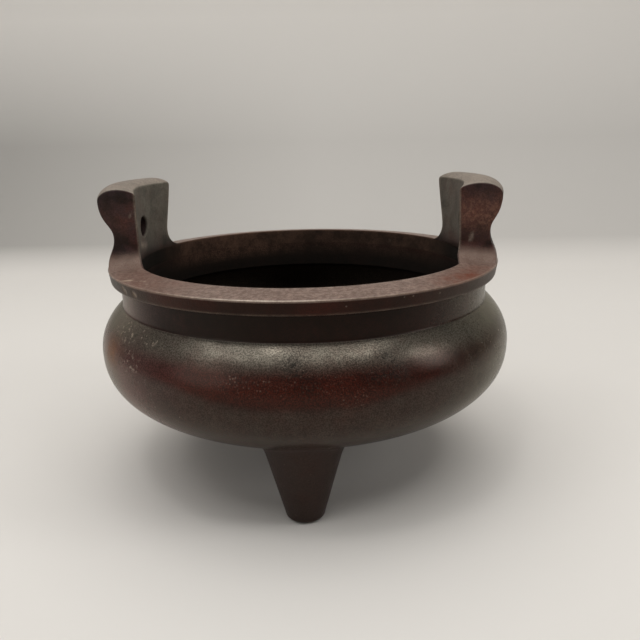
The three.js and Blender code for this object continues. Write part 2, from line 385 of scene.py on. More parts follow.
rimSkin = {
    "top": (-0.45, -0.15),  # height over the sloping top
    "topInner": (-0.1, 0.5),  # distance out from the mouth
    "outerEdge": (-0.2, 0.0, 0.25, 0.2),  # from the edge of the top
    "lowerEdge": (-1.0, 0.35, 0.5, 0.3),  # worn edge and painted highlight, from the edge above the neck
    "lowerEdgeHighlightShare": 0.75,
    "paintedEdgeHighlight": (-8, 17),  # painted highlight: angle of the brightest stretch of the edge, and its reach
    "insideDepth": 0.35,
    # painted shade with the soot: the rim's inner face darkens going down into the mouth
    "sootAndShadeDepths": (0.1, 0.9),
    "stainLeast": 0.5,
    "rust": (50, 14),
    "rustOut": 3,  # how far in from the edge it is full
    "pinkFront": (-20, -42),
    "pinkBack": (-68, -54),
    "flankAngles": (20, 55),
    "worn": [(-48.5, -41.0, 75.2, -43.5, -45.0, 75.2, 2.2)],  # pale flecks round the knocks
}


def rimMasks(points):
    skin = rimSkin
    radius = np.hypot(points[:, 0], points[:, 1])
    level = points[:, 2]
    angle = angleRound(points)
    overTop = level - rimInnerLevel + rimSlope * (radius - mouthRadius)
    onTop = smoothStep(*skin["top"], overTop) * smoothStep(*skin["topInner"], radius - mouthRadius)
    edge = spotCover(radius - rimRadius, level - rimOuterLevel, skin["outerEdge"])
    lowerEdge = spotCover(radius - rimRadius, level - neckTop, skin["lowerEdge"])
    inside = radius < mouthRadius + skin["insideDepth"]
    outwards = smoothStep(mouthRadius, rimRadius - skin["rustOut"], radius)
    return {
        "wear": onTop,
        "edge": np.maximum(edge, skin["lowerEdgeHighlightShare"] * lowerEdge),
        "paintedEdgeHighlight": edge * bandCover(angle, *skin["paintedEdgeHighlight"]),
        "sootAndShade": inside * smoothStep(*skin["sootAndShadeDepths"], rimInnerLevel - level),
        "stain": inside * stained(angle, skin["stainLeast"]),
        "rust": onTop * bandCover(angle, *skin["rust"]) * outwards,
        "pink": onTop * smoothStep(*skin["pinkFront"], angle) * smoothStep(*skin["pinkBack"], angle),
        "flank": smoothStep(*skin["flankAngles"], np.abs(angle)) * (1 - onTop),
        "scratch": strokeCover(points, rim["chips"]),
        "blot": strokeCover(points, skin["worn"]),
    }


def chipped(loops):
    # each knock moves the skin towards the ring in the middle of the rim's section
    points = loops.reshape(-1, 3)
    radius = np.hypot(points[:, 0], points[:, 1])[:, None]
    core = points / radius * [1, 1, 0] * rimCore[0] + [0, 0, rimCore[1]]
    inward = core - points
    inward = inward / np.linalg.norm(inward, axis=1, keepdims=True)
    moved = points + inward * rim["chipDepth"] * strokeCover(points, rim["chips"])[:, None]
    return moved.reshape(loops.shape)


def makeRim():
    # a closed section, four-sided with eased corners, turned round the axis
    bottomOuter = (rimRadius - rim["undercut"], neckTop)
    topOuter = (rimRadius, rimOuterLevel)
    topInner = (mouthRadius, rimInnerLevel)
    bottomInner = (mouthRadius, neckTop)
    profile = np.concatenate([
        easedCorner(bottomInner, bottomOuter, topOuter, rim["lowerEdge"]),
        easedCorner(bottomOuter, topOuter, topInner, rim["outerEdge"], rim["topEdgeSteps"]),
        easedCorner(topOuter, topInner, bottomInner, rim["innerEdge"], rim["topEdgeSteps"]),
        [bottomInner, (neckRadius, neckTop)],
    ])
    closed = spaced(np.concatenate([profile, profile[:1]]), rim["spacing"])[:-1]
    loops = castUneven(chipped(turned(closed, roundTurn(rim["steps"], rim["crowding"]))))
    piece = addSurface("rim_lip", loops, masks=rimMasks)
    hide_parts("rim_ring")
    return piece


# Ears

ear = {
    "width": 39.5,
    "topWidth": 44.4,
    "headDepth": 10.9,
    "waistDepth": 7.5,
    "waistHeight": 8.9,
    "domeHeight": 4.0,
    "domeFade": 8.0,  # the head's dome starts this far below it
    "innerSpread": 1.2,  # the dome's curve runs on past the inner face by this share
    "crown": (1.2, 0.1),  # how far the head drops to its near and far corner
    "footFillet": 6.5,
    "widest": 1.2,  # the sides widen up to this share of their height
    "flareEase": 0.42,
    "swellEase": (0.36, 0.6), # pull of the curve at the waist and at the head
    "curveSteps": 30,
    "holeHeight": 10.0,
    "holeLip": 0.7,
    "edgeRound": (0.4, 0.35),  # inner and outer vertical edges
    "crestRound": (0.35, 0.05),  # inner and outer edge of the head
    "crestFade": (0.5, 0.7),  # how far from a corner the crest's rounding starts, and its reach
    "cornerRound": (0.45, 0.9),  # near and far corner of the head
    "cornerSteps": 9,
    "rootLevel": 73.2,
    "rootInset": (1.6, 1.4),  # the root's outside, in from the rim's edge, at its bottom and its top
    "rootDrop": (1.0, 0.8),  # the same two, below the root's level and below the rim's edge
    "footInset": 0.3,  # the flare starts this far in from the rim's edge
    "faceInset": 0.06,  # the inner face stands this far in from the mouth
    "rootStep": 0.7,  # and the root this far back
    "rootStepLevels": (-0.2, -1.3),
    "sink": 0.12,  # the foot's hollow runs this far under the rim's face
    "outlineSpacing": 0.75,
    "faceSteps": 34,
    "acrossSteps": 18,
    "lipSteps": 4,
    "edgeSteps": 4,
}
# The two were bent a little unlike each other: how far the inner face leans in over the mouth at the near
# top, near foot, far top and far foot, how far the head stands out, and the hole's two radii.
earPair = {
    "right_ear": {"side": 1, "lean": (1.8, 1.7, 0.9, 0.3), "headOut": 0.0, "hole": (3.4, 3.4)},
    "left_ear": {"side": -1, "lean": (-0.1, 0.1, 0.6, 0.0), "headOut": 0.5, "hole": (4.0, 3.3)},
}
earLean = {"topToFoot": (97, 83), "nearToFar": (-20, 20), "aboveRim": (-1.5, 2)}
headLevel = earTop - ear["domeHeight"]
waistLevel = rimInnerLevel + ear["waistHeight"]
holeLevel = rimInnerLevel + ear["holeHeight"]
levelTolerance = 0.01


def bezier(a, b, c, d):
    # a cubic curve from a to d that leaves towards b and arrives from c
    t = np.linspace(0, 1, ear["curveSteps"] + 1)[:, None]
    return (1 - t) ** 3 * a + 3 * t * (1 - t) ** 2 * b + 3 * t ** 2 * (1 - t) * c + t ** 3 * d


def earOuterSide(headOut):
    # (radius, level) up the outside: inside the rim, flare, waist, swell
    foot = np.array([rimRadius - ear["footInset"], rimOuterLevel])
    waist = np.array([mouthRadius + ear["waistDepth"], waistLevel])
    head = np.array([mouthRadius + ear["headDepth"] + headOut, headLevel])
    flare = (waist[1] - foot[1]) * ear["flareEase"]
    atWaist, atHead = (head[1] - waist[1]) * np.array(ear["swellEase"])
    up = np.array([0, 1])
    rootLevels = np.array([ear["rootLevel"], rimOuterLevel]) - ear["rootDrop"]
    return np.concatenate([
        np.stack([rimRadius - np.array(ear["rootInset"]), rootLevels], -1),
        bezier(foot, foot + up * flare, waist - up * flare, waist),
        bezier(waist, waist + up * atWaist, head - up * atHead, head)[1:],
    ])


def earHalfWidth(above):
    # a hollow curve into the rim, then sides that widen a little towards the top
    half, fillet = ear["width"] / 2, ear["footFillet"]
    rise = np.clip((above - fillet) / (earTop - rimInnerLevel - fillet), 0, ear["widest"])
    drop = np.clip(fillet - above, 0, fillet)
    return between((half, ear["topWidth"] / 2), rise) + fillet - np.sqrt(fillet ** 2 - drop ** 2)


def domeRise(share):
    # b sqrt(1 - (r/a)^2) across the head; towards the mouth a is longer, so that the curve ends in an edge
    fromCrest = np.abs(2 * np.clip(share, 0, 1) - 1) / np.where(share < 0.5, ear["innerSpread"], 1.0)
    return ear["domeHeight"] * np.sqrt(np.maximum(1 - fromCrest ** 2, 0))


def earOutline(half, low, high):
    # the front outline as (across, level), from the far side over the top to the near side and back below
    near, far = ear["cornerRound"]
    gap = ear["outlineSpacing"]
    farSide = np.linspace(low, high - far, int((high - low) / gap))
    nearSide = np.linspace(high - near, low, int((high - low) / gap))
    crest = np.linspace(half - far, near - half, int(2 * half / gap))[1:-1]
    bottom = np.linspace(-half, half, int(half / gap))[1:-1]
    t = np.linspace(0, np.pi / 2, ear["cornerSteps"])
    return np.concatenate([
        np.stack([half + 0 * farSide, farSide], -1),
        np.stack([half - far + far * np.cos(t), high - far + far * np.sin(t)], -1)[1:],
        np.stack([crest, high + 0 * crest], -1),
        np.stack([near - half - near * np.sin(t), high - near + near * np.cos(t)], -1)[:-1],
        np.stack([-half + 0 * nearSide, nearSide], -1),
        np.stack([bottom, low + 0 * bottom], -1),
    ])


def earWayRound():
    # the way round the wall of the ear at one ray from the hole: lip, inner face, edge, across, edge, outer
    # face, lip. lip and edge go from 0 to 1 in their turns, face from lip to edge, and depth across.
    q = np.linspace(0, np.pi / 2, ear["lipSteps"] + 1)
    e = np.linspace(0, np.pi / 2, ear["edgeSteps"] + 1)
    t = np.linspace(0, 1, ear["faceSteps"] + 1)
    across = (1 - np.cos(np.linspace(0, np.pi, ear["acrossSteps"] + 1))) / 2
    level = np.ones_like(across)
    keys = ("lipOut", "face", "edgeOut", "lipIn", "edgeIn")
    lip = dict(zip(keys, (1 - np.cos(q), 0 * q, 0 * q, 1 - np.sin(q), 0 * q)))
    face = dict(zip(keys, (1 + 0 * t, t, 0 * t, 0 * t, 0 * t)))
    edge = dict(zip(keys, (1 + 0 * e, 1 + 0 * e, np.sin(e), 0 * e, 1 - np.cos(e))))
    middle = dict(zip(keys, (level, level, level, 0 * across, 1 - 2 * across)))
    inner = {key: np.concatenate([lip[key], face[key][1:], edge[key][1:]]) for key in keys}
    sign = dict(zip(keys, (1, 1, 1, -1, -1)))
    way = {key: np.concatenate([inner[key], middle[key][1:-1], inner[key][::-1] * sign[key]])
           for key in keys}
    count = len(inner["face"])
    way["depth"] = np.concatenate([np.zeros(count), across[1:-1], np.ones(count)])
    return way


def leanIn(pair, across, level):
    # how far the inner face leans in over the mouth, blended between its four corners
    nearTop, nearFoot, farTop, farFoot = pair["lean"]
    toFoot = smoothStep(*earLean["topToFoot"], level)
    ends = (between((nearTop, nearFoot), toFoot), between((farTop, farFoot), toFoot))
    lean = between(ends, smoothStep(*earLean["nearToFar"], across))
    return lean * smoothStep(*earLean["aboveRim"], level - rimInnerLevel)


def edgeRounding(outline, depth, half):
    # the vertical edges keep their size; along the crest it goes over to the crest's own
    edge, crest = between(ear["edgeRound"], depth), between(ear["crestRound"], depth)
    onCrest = outline[:, 1:] > headLevel - levelTolerance
    start, reach = ear["crestFade"]
    fade = np.exp(-np.maximum(half - np.abs(outline[:, :1]) - start, 0) / reach)
    return np.where(onCrest, between((crest, edge), fade), edge)


def earPoints(pair):
    # each point lies out from the middle of the hole by rho along a ray, and in by "deep" from the inner
    # face; (radius, across, level) then bends round the mouth
    outer = earOuterSide(pair["headOut"])
    half = float(earHalfWidth(np.array(ear["holeHeight"])))
    outline = earOutline(half, ear["rootLevel"], headLevel)
    ray = outline - [0, holeLevel]
    reach = np.linalg.norm(ray, axis=1, keepdims=True)
    ray = ray / reach
    way = earWayRound()
    edge = edgeRounding(outline, way["depth"], half)
    hole = 1 / np.hypot(ray[:, :1] / pair["hole"][0], ray[:, 1:] / pair["hole"][1])
    lip = ear["holeLip"]
    rho = hole + lip * way["lipOut"] + way["face"] * (reach - edge - hole - lip) + edge * way["edgeOut"]
    across = ray[:, :1] * rho
    level = holeLevel + ray[:, 1:] * rho
    root = smoothStep(*ear["rootStepLevels"], level - rimInnerLevel)
    inRadius = mouthRadius - ear["faceInset"] + ear["rootStep"] * root - leanIn(pair, across, level)
    depth = np.interp(level, outer[:, 1], outer[:, 0]) - inRadius
    deep = depth * way["depth"] + lip * way["lipIn"] + edge * way["edgeIn"]
    radius = inRadius + deep
    level = level + domeRise(deep / depth) * np.clip((level - headLevel) / ear["domeFade"] + 1, 0, 1)
    above = level - rimInnerLevel + rimSlope * (radius - mouthRadius)
    across = across / half * earHalfWidth(above + ear["sink"])
    aboveWaist = np.clip((level - waistLevel) / (earTop - waistLevel), 0, 1)
    crown = np.where(across < 0, *ear["crown"])
    level = level - crown * (across / (ear["topWidth"] / 2)) ** 2 * aboveWaist
    points = np.stack([pair["side"] * np.sqrt(radius ** 2 - across ** 2), across, level], -1)
    return points[:, ::-pair["side"]]


# Distances are from the face, end or edge that the name says; heights are above the rim's sloping top.
earSkin = {
    "innerFace": (0.6, 0.1),
    "dustHeights": (-1, 9),
    "dustLeast": 0.25,
    "dustEnds": (0.1, 0.6),
    "dustLoss": 0.25,  # on the right ear
    "wearHeights": (5.5, 1.0),
    "headDrop": (3.6, 2.2),  # how far below the crest the head's wear and painted sheen reach
    "headEnds": (0.15, 0.5),
    "headFace": (0.5, 0.2),  # it stops where the inner face begins
    "headFaceDrop": (1.5, 1.9),
    "edgeEnds": (1.7, 0.5),
    "edgeFace": (0.7, 0.1),
    "edgeHeights": (1, 4),
    "headEdgeShare": 0.7,
    "headEdgeOuter": (0.8, 0.3),
    "headEdgeInner": (0.0, 0.3),
    "headEdgeDrop": (4.5, 2.5),
    "crownReach": 22,
    # painted shade with the soot: darker towards the foot of the inner face, and inside the hole
    "sootAndShadeHeights": (2, -3),
    "holeSootAndShade": (1.15, 1.0),  # as a share of the hole's radius
    "holeSootAndShadeShare": 0.4,
    "stainShare": 0.3,
    "rustEnds": (0.6, 0.1),
    "rust": (91, 5.5),  # level and reach
    "rustLeft": 0.2,  # how much of it the left ear has
    "scratches": [
        (-55.9, -7.0, 80.8, -56.2, 0.5, 79.6, 1.3), (54.6, -19.9, 84.5, 54.5, -19.9, 82.5, 0.45),
        (53.9, -18.5, 84.5, 54.9, -16.0, 79.5, 0.35), (-53.6, -20.8, 92.9, -54.1, -20.9, 92.6, 0.35),
    ],
}


def earMasks(points):
    skin = earSkin
    pair = earPair["right_ear" if points[:, 0].mean() > 0 else "left_ear"]
    isRight = float(pair["side"] > 0)
    radius = np.hypot(points[:, 0], points[:, 1])
    across, level = points[:, 1], points[:, 2]
    above = level - rimInnerLevel + rimSlope * (radius - mouthRadius)
    fromFace = radius - mouthRadius + leanIn(pair, across, level)
    fromEnd = earHalfWidth(above) - np.abs(across)
    crest = earTop - ear["crown"][0] * (np.minimum(across, 0) / skin["crownReach"]) ** 2
    drop = crest - level
    holeShare = np.hypot(across / pair["hole"][0], (level - holeLevel) / pair["hole"][1])
    innerFace = smoothStep(*skin["innerFace"], fromFace)
    dust = between((skin["dustLeast"], 1), smoothStep(*skin["dustHeights"], above))
    dust = dust * smoothStep(*skin["dustEnds"], fromEnd) * (1 - skin["dustLoss"] * isRight)
    atFace = smoothStep(*skin["headFace"], fromFace) * smoothStep(*skin["headFaceDrop"], drop)
    head = smoothStep(*skin["headDrop"], drop) * smoothStep(*skin["headEnds"], fromEnd) * (1 - atFace)
    edge = smoothStep(*skin["edgeEnds"], fromEnd) * smoothStep(*skin["edgeFace"], fromFace)
    headEdge = smoothStep(*skin["headEdgeOuter"], fromEnd) * smoothStep(*skin["headEdgeInner"], fromEnd)
    headEdge = skin["headEdgeShare"] * headEdge * smoothStep(*skin["headEdgeDrop"], drop)
    footSootAndShade = innerFace * smoothStep(*skin["sootAndShadeHeights"], above)
    rust = smoothStep(*skin["rustEnds"], fromEnd) * bandCover(level, *skin["rust"])
    return {
        "dust": innerFace * dust,
        "wear": smoothStep(*skin["wearHeights"], above) * (1 - innerFace),
        "head": head,
        "edge": np.maximum(edge * smoothStep(*skin["edgeHeights"], above), headEdge),
        "sootAndShade": np.maximum(footSootAndShade, skin["holeSootAndShadeShare"] * smoothStep(*skin["holeSootAndShade"], holeShare)),
        "stain": footSootAndShade * skin["stainShare"],
        "rust": rust * between((skin["rustLeft"], 1), isRight),
        "scratch": strokeCover(points, skin["scratches"]),
    }


def makeEar(node):
    piece = addSurface(node + "_wall", castUneven(earPoints(earPair[node])), masks=earMasks)
    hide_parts(node)
    return piece


# Legs

leg = {
    "inset": 24.5,  # from the widest place to the axis of a leg
    "footRadius": 5.8,
    "footRound": 2.0,
    "rootRadius": 13.8,
    "seam": (0.7, 0.9),  # small hollow against the belly, and its reach
    "buried": 2.0,
    "steps": 96,
    "rows": 44,
    "footSteps": 8,
    "reach": 40,  # the belly is met below this level, found in steps of 0.05
    "reachSteps": 800,
}
legCircle = bellyRadius - leg["inset"]
legRootLevel = float(bellyFace(legCircle + leg["rootRadius"]))
thirdOfTurn = 2 * math.pi / 3


def makeLeg(node, angle):
    # a cone with an eased foot; every line up its side ends a little inside the wall of the belly
    t = np.linspace(0, 2 * np.pi, leg["steps"], endpoint=False)
    taper = (leg["rootRadius"] - leg["footRadius"]) / legRootLevel
    level = np.linspace(0, leg["reach"], leg["reachSteps"] + 1)[:, None]
    side = leg["footRadius"] + taper * level
    fromAxis = np.hypot(side * np.sin(t), legCircle + side * np.cos(t))
    top = level[np.argmax(level >= bellyFace(fromAxis) + leg["buried"], axis=0), 0]
    rows = between((leg["footRound"], top), np.linspace(0, 1, leg["rows"])[:, None])
    seam = leg["seam"][0] * np.exp(-np.maximum(top - leg["buried"] - rows, 0) / leg["seam"][1])
    cone = leg["footRadius"] + taper * rows + seam
    q = np.linspace(0, np.pi / 2, leg["footSteps"])[:-1, None]
    easeRadius = leg["footRadius"] - leg["footRound"] + leg["footRound"] * (1 + taper) * np.sin(q)
    easeLevel = leg["footRound"] * (1 - np.cos(q))
    radius = np.concatenate([easeRadius[:1] / 2 + 0 * t, easeRadius + 0 * t, cone])
    height = np.concatenate([0 * t[None, :], easeLevel + 0 * t, rows])
    points = np.stack([radius * np.sin(t), -legCircle - radius * np.cos(t), height], -1)
    poles = np.array([(0, -legCircle, 0), (0, -legCircle, float(bellyFace(legCircle)) + leg["buried"])])
    cosine, sine = math.cos(angle), math.sin(angle)
    spin = np.array([[cosine, sine, 0], [-sine, cosine, 0], [0, 0, 1]])
    piece = addSurface(node + "_cone", points @ spin, poles @ spin)
    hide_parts(node)
    return piece


bowlPiece = makeBowl()
rimPiece = makeRim()
earPieces = [makeEar("right_ear"), makeEar("left_ear")]
legPieces = [makeLeg("front_leg", 0), makeLeg("rear_right_leg", thirdOfTurn),
             makeLeg("rear_left_leg", -thirdOfTurn)]
print("pieces made")


# Materials

def linear(hexColour):
    # sRGB hex to linear red, green, blue and alpha
    values = [int(hexColour[i:i + 2], 16) / 255 for i in (1, 3, 5)]
    return tuple(v / 12.92 if v <= 0.04045 else ((v + 0.055) / 1.055) ** 2.4 for v in values) + (1.0,)


def perMm(size):
    # texture scale for a pattern of that size in millimetres
    return 1 / (size * mm)


def addNode(tree, kind, inputs=(), **settings):
    # adds a node and gives its outputs; an input is a value or a socket to link, in order or by its key.
    # A Mix node has its factor at 0, its numbers at 2 and 3 and its colours at 6 and 7.
    node = tree.nodes.new("ShaderNode" + kind)
    for name, value in settings.items():
        setattr(node, name, value)
    for key, value in inputs.items() if isinstance(inputs, dict) else enumerate(inputs):
        if isinstance(value, bpy.types.NodeSocket):
            tree.links.new(value, node.inputs[key])
        else:
            node.inputs[key].default_value = value
    return node.outputs


def newMaterial(name):
    material = bpy.data.materials.new(name)
    material.use_nodes = True
    material.node_tree.nodes.clear()
    return material, material.node_tree


# Noises that break up the colours: size in mm, detail, roughness, and the two values that become 0 and 1.
# The casting's sand grain is nearer 0.3 mm, so "grain" is drawn a little coarser for it to show.
noises = {
    "cloud": (24, 3.0, 0.6, 0.4, 0.6),
    "mottle": (4.5, 5.0, 0.65, 0.38, 0.62),
    "grain": (0.4, 2.0, 0.6, 0.43, 0.57),
    "fleck": (1.5, 2.0, 0.6, 0.57, 0.66),
    "blot": (0.7, 2.0, 0.6, 0.48, 0.62),
    "stipple": (1.3, 3.0, 0.6, 0.44, 0.58),
}
# Dots: size of a cell in mm, what its random number goes through so that some dots are dropped or fainter,
# and the two distances from its middle that become 0 and 1.
dots = {
    "speck": (2.6, "GREATER_THAN", 0.88, 0.15, 0.07),
    "crumb": (0.75, "POWER", 2.0, 0.45, 0.1),
}
swell = {"size": 3.2, "detail": 2.0, "roughness": 0.6}  # slow waves in the skin
pitColour = "#0a0605"
roughnessSpread = 0.08
glossLevel = 0.15
glossTint = "#fffbea"


def addPatterns(tree, place, look):
    # every noise and dot pattern as a socket from 0 to 1, and the plain noise of the grain
    broken = {}
    for name, (size, detail, roughness, low, high) in noises.items():
        size = look["sizes"].get(name, size)
        noise = addNode(tree, "TexNoise", {
            "Vector": place, "Scale": perMm(size), "Detail": detail, "Roughness": roughness})["Fac"]
        broken[name] = addNode(tree, "MapRange", (noise, low, high))[0]
        if name == "grain":
            grain = noise
    for name, (size, operation, number, low, high) in dots.items():
        cell = addNode(tree, "TexVoronoi", {"Vector": place, "Scale": perMm(size)})
        chance = addNode(tree, "SeparateColor", (cell["Color"],))[0]
        chosen = addNode(tree, "Math", (chance, number), operation=operation)[0]
        near = addNode(tree, "MapRange", (cell["Distance"], low, high))[0]
        broken[name] = addNode(tree, "Math", (chosen, near), operation="MULTIPLY")[0]
    return broken, grain


def addLayers(tree, broken, look):
    # the clouded base colour with each layer laid over it through its mask, then darkened in the pits
    colour = addNode(tree, "Mix", {
        0: broken["cloud"], 6: linear(look["dark"]), 7: linear(look["red"])}, data_type="RGBA")[2]
    speckle = addNode(tree, "Math", (broken["mottle"], look["speckle"]), operation="MULTIPLY")[0]
    colour = addNode(tree, "Mix", {0: speckle, 6: colour, 7: linear(look["grey"])}, data_type="RGBA")[2]
    smoothest = look["roughness"] - roughnessSpread / 2
    spread = (broken["mottle"], roughnessSpread, smoothest)
    roughness = addNode(tree, "Math", spread, operation="MULTIPLY_ADD")[0]
    metallic = look["metallic"]
    for maskName, hexColour, strength, texture, share, roughnessThere, metallicThere in look["layers"]:
        cover = (broken[texture], share * strength, (1 - share) * strength)
        cover = addNode(tree, "Math", cover, operation="MULTIPLY_ADD")[0]
        if maskName:
            mask = addNode(tree, "Attribute", attribute_name=maskName)["Fac"]
            cover = addNode(tree, "Math", (cover, mask), operation="MULTIPLY")[0]
        colour = addNode(tree, "Mix", {0: cover, 6: colour, 7: linear(hexColour)}, data_type="RGBA")[2]
        roughness = addNode(tree, "Mix", {0: cover, 2: roughness, 3: roughnessThere})[0]
        if metallic != metallicThere:
            metallic = addNode(tree, "Mix", {0: cover, 2: metallic, 3: metallicThere})[0]
    pits = (broken["grain"], -look["pitShade"], look["pitShade"])
    pitted = addNode(tree, "Math", pits, operation="MULTIPLY_ADD")[0]
    colour = addNode(tree, "Mix", {0: pitted, 6: colour, 7: linear(pitColour)}, data_type="RGBA")[2]
    return colour, roughness, metallic


def addCastSkin(tree, place, grain, look):
    # the fine relief of the casting: its grain, stronger on the coarse belt and patches, on slow waves
    height = grain
    if "coarser" in look:
        coarseAndGlints = addNode(tree, "Attribute", attribute_name="coarseAndGlints")["Fac"]
        stronger = addNode(tree, "Math", (coarseAndGlints, look["coarser"], 1.0), operation="MULTIPLY_ADD")[0]
        height = addNode(tree, "Math", (grain, stronger), operation="MULTIPLY")[0]
    waves = addNode(tree, "TexNoise", {
        "Vector": place, "Scale": perMm(swell["size"]), "Detail": swell["detail"],
        "Roughness": swell["roughness"]})["Fac"]
    height = addNode(tree, "Math", (waves, look["swell"], height), operation="MULTIPLY_ADD")[0]
    return addNode(tree, "Bump", {"Height": height, "Strength": 1.0, "Distance": look["grain"] * mm})[0]


def patinatedBronze(name, look):
    # Cast bronze under an old brown patina: a thin oxide skin with a satin gloss and neutral highlights that
    # the casting grain breaks up, redder oxide where it is handled, and paler metal where it is rubbed.
    material, tree = newMaterial(name)
    place = addNode(tree, "TexCoord")["Object"]
    broken, grain = addPatterns(tree, place, look)
    colour, roughness, metallic = addLayers(tree, broken, look)
    skin = addNode(tree, "BsdfPrincipled", {
        "Base Color": colour, "Metallic": metallic, "Roughness": roughness, "Specular IOR Level": glossLevel,
        "Specular Tint": linear(glossTint), "Normal": addCastSkin(tree, place, grain, look)})
    addNode(tree, "OutputMaterial", {"Surface": skin[0]})
    return material


# A layer: mask, colour, strength, what breaks it up and how far, roughness and metallic there. The rim and
# the feet of the ears are rubbed alike: bare paler metal over dark, broken by the grain.
rubbed = [
    ("wear", "#3a1f18", 1.0, "mottle", 0.0, 0.4, 0.0),
    ("wear", "#a28c7f", 0.95, "mottle", 0.3, 0.42, 0.15),
    ("wear", "#4a3029", 0.6, "grain", 1.0, 0.4, 0.1),
]
# The inside is dull with soot, darkened further by painted shade deep in the mouth, in the ears' holes and
# at their feet, with ash below and a brown stain behind.
sootyAndShaded = [
    ("sootAndShade", "#0f0c0a", 0.97, "mottle", 0.1, 0.85, 0.0),
    ("ash", "#463d35", 0.9, "mottle", 0.2, 0.9, 0.0),
    ("stain", "#5f4639", 0.9, "mottle", 0.6, 0.75, 0.0),
]
speckled = (None, "#8d7f70", 0.4, "speck", 1.0, 0.4, 0.1)
# The bowl is the smoothest: soft lights on a pewter bloom round its shoulder, a red-brown band below it,
# and a greyer underside.
bowlLook = {
    "dark": "#2c1714", "red": "#3c1d17", "grey": "#392d27", "speckle": 0.3,
    "roughness": 0.24, "metallic": 0.15,
    "sizes": {"grain": 0.36},
    "grain": 0.028,  # height of the grain in mm
    "swell": 0.6,
    "coarser": 3.0, "pitShade": 0.6,
    "layers": [
        ("redBand", "#43180f", 0.88, "grain", 0.3, 0.22, 0.0),
        ("under", "#4d453e", 0.6, "mottle", 0.3, 0.26, 0.35),
        ("flank", "#5a5246", 0.7, "mottle", 0.4, 0.28, 0.35),
        ("plum", "#735150", 0.7, "cloud", 0.5, 0.3, 0.3),
        ("bloom", "#7a766a", 0.66, "mottle", 0.3, 0.2, 0.8),
        ("rustSpot", "#86552c", 0.75, "mottle", 0.6, 0.5, 0.1),
        ("pitted", "#120c0b", 0.9, "blot", 0.7, 0.4, 0.1),
        # painted shade on the neck under the rim's overhang
        ("paintedNeckShade", "#150402", 0.95, "mottle", 0.2, 0.45, 0.0),
        speckled,
        ("knocked", "#b3a190", 0.6, "fleck", 1.0, 0.45, 0.2),
        ("scuff", "#a39080", 0.35, "crumb", 1.0, 0.4, 0.2),
        # painted glints: pale specks over the coarse belt and patches
        ("coarseAndGlints", "#a39080", 0.2, "crumb", 1.0, 0.4, 0.2),
        *sootyAndShaded,
    ],
}
# The rim's band is dark red-brown, and its top is rubbed pale, rusty on the right and pinkish on the left.
rimLook = {
    "dark": "#1e0804", "red": "#350f07", "grey": "#29130d", "speckle": 0.35,
    "roughness": 0.38, "metallic": 0.05,
    "sizes": {},
    "grain": 0.09,
    "swell": 0.5, "pitShade": 0.3,
    "layers": [
        ("flank", "#3a3028", 0.8, "mottle", 0.5, 0.45, 0.15),
        speckled,
        *rubbed,
        ("wear", "#43291f", 0.55, "stipple", 1.0, 0.4, 0.1),
        ("pink", "#66473d", 0.6, "mottle", 0.8, 0.5, 0.1),
        ("rust", "#64311f", 0.9, "mottle", 0.8, 0.5, 0.0),
        # worn edges, partly a painted highlight along the outer and lower edge
        ("edge", "#a08d7e", 0.5, "mottle", 0.6, 0.4, 0.2),
        # painted highlight on the front of the outer edge
        ("paintedEdgeHighlight", "#d8cabb", 0.8, "mottle", 0.4, 0.3, 0.4),
        ("scratch", "#c4b09a", 0.8, "mottle", 0.4, 0.45, 0.2),
        ("blot", "#b8a595", 0.6, "fleck", 1.0, 0.45, 0.2),
        *sootyAndShaded,
    ],
}
# The ears are mottled brown and red, dusty grey on their inner faces, rubbed on the edges, and paler on the
# head, partly rubbed and partly painted sheen.
earLook = {
    "dark": "#201413", "red": "#562e26", "grey": "#2b2327", "speckle": 0.8,
    "roughness": 0.5, "metallic": 0.05,
    "sizes": {"cloud": 9},
    "grain": 0.09,
    "swell": 0.6, "pitShade": 0.3,
    "layers": [
        ("rust", "#785346", 0.85, "stipple", 0.5, 0.6, 0.0),
        (None, "#7d7062", 0.4, "speck", 1.0, 0.5, 0.1),
        ("dust", "#7b7569", 0.9, "mottle", 0.35, 0.75, 0.0),
        ("edge", "#8c8072", 0.75, "mottle", 0.5, 0.6, 0.1),
        # rubbed metal and painted sheen on the top of the head
        ("head", "#978b7e", 0.85, "mottle", 0.3, 0.5, 0.1),
        ("head", "#5d544c", 0.5, "blot", 1.0, 0.5, 0.1),
        *rubbed,
        ("wear", "#43291f", 0.25, "mottle", 0.2, 0.4, 0.1),
        ("scratch", "#a39485", 0.8, "mottle", 0.5, 0.5, 0.1),
        *sootyAndShaded,
    ],
}
# The legs are nearly black and dull, with a few specks.
legLook = {
    "dark": "#2b201d", "red": "#362521", "grey": "#372d29", "speckle": 0.5,
    "roughness": 0.4, "metallic": 0.1,
    "sizes": {},
    "grain": 0.08,
    "swell": 0.5, "pitShade": 0.35,
    "layers": [(None, "#6d6054", 0.3, "speck", 1.0, 0.5, 0.1)],
}
finishes = [
    ("cast_bronze_brown_patina", bowlLook, [bowlPiece]),
    ("cast_bronze_rubbed_rim", rimLook, [rimPiece]),
    ("cast_bronze_mottled_ear", earLook, earPieces),
    ("cast_bronze_blackened_leg", legLook, legPieces),
]
for finishName, look, dressed in finishes:
    finish = patinatedBronze(finishName, look)
    for piece in dressed:
        piece.data.materials.append(finish)
print("materials made")


# Stage: a pale paper sweep, floor and wall in one curve

stage = {
    "width": 9000,
    "front": -1500,
    "bendStart": 330,
    "bendRadius": 260,
    "bendPoints": 24,
    "height": 1500,
    "pale": "#d3cfc9", "grey": "#8f8c87",
    "shadeStart": (0, 15),  # painted shade: the paper turns grey between these heights
    "shadeEnd": (250, 110),  # and pale again from the second to the first
    "leftwards": (0, -350),  # towards the left the painted shade goes from the first to the second share
    "shadeShares": (0.45, 0.85),
    "roughness": 0.9,
    "gloss": 0.1,
}


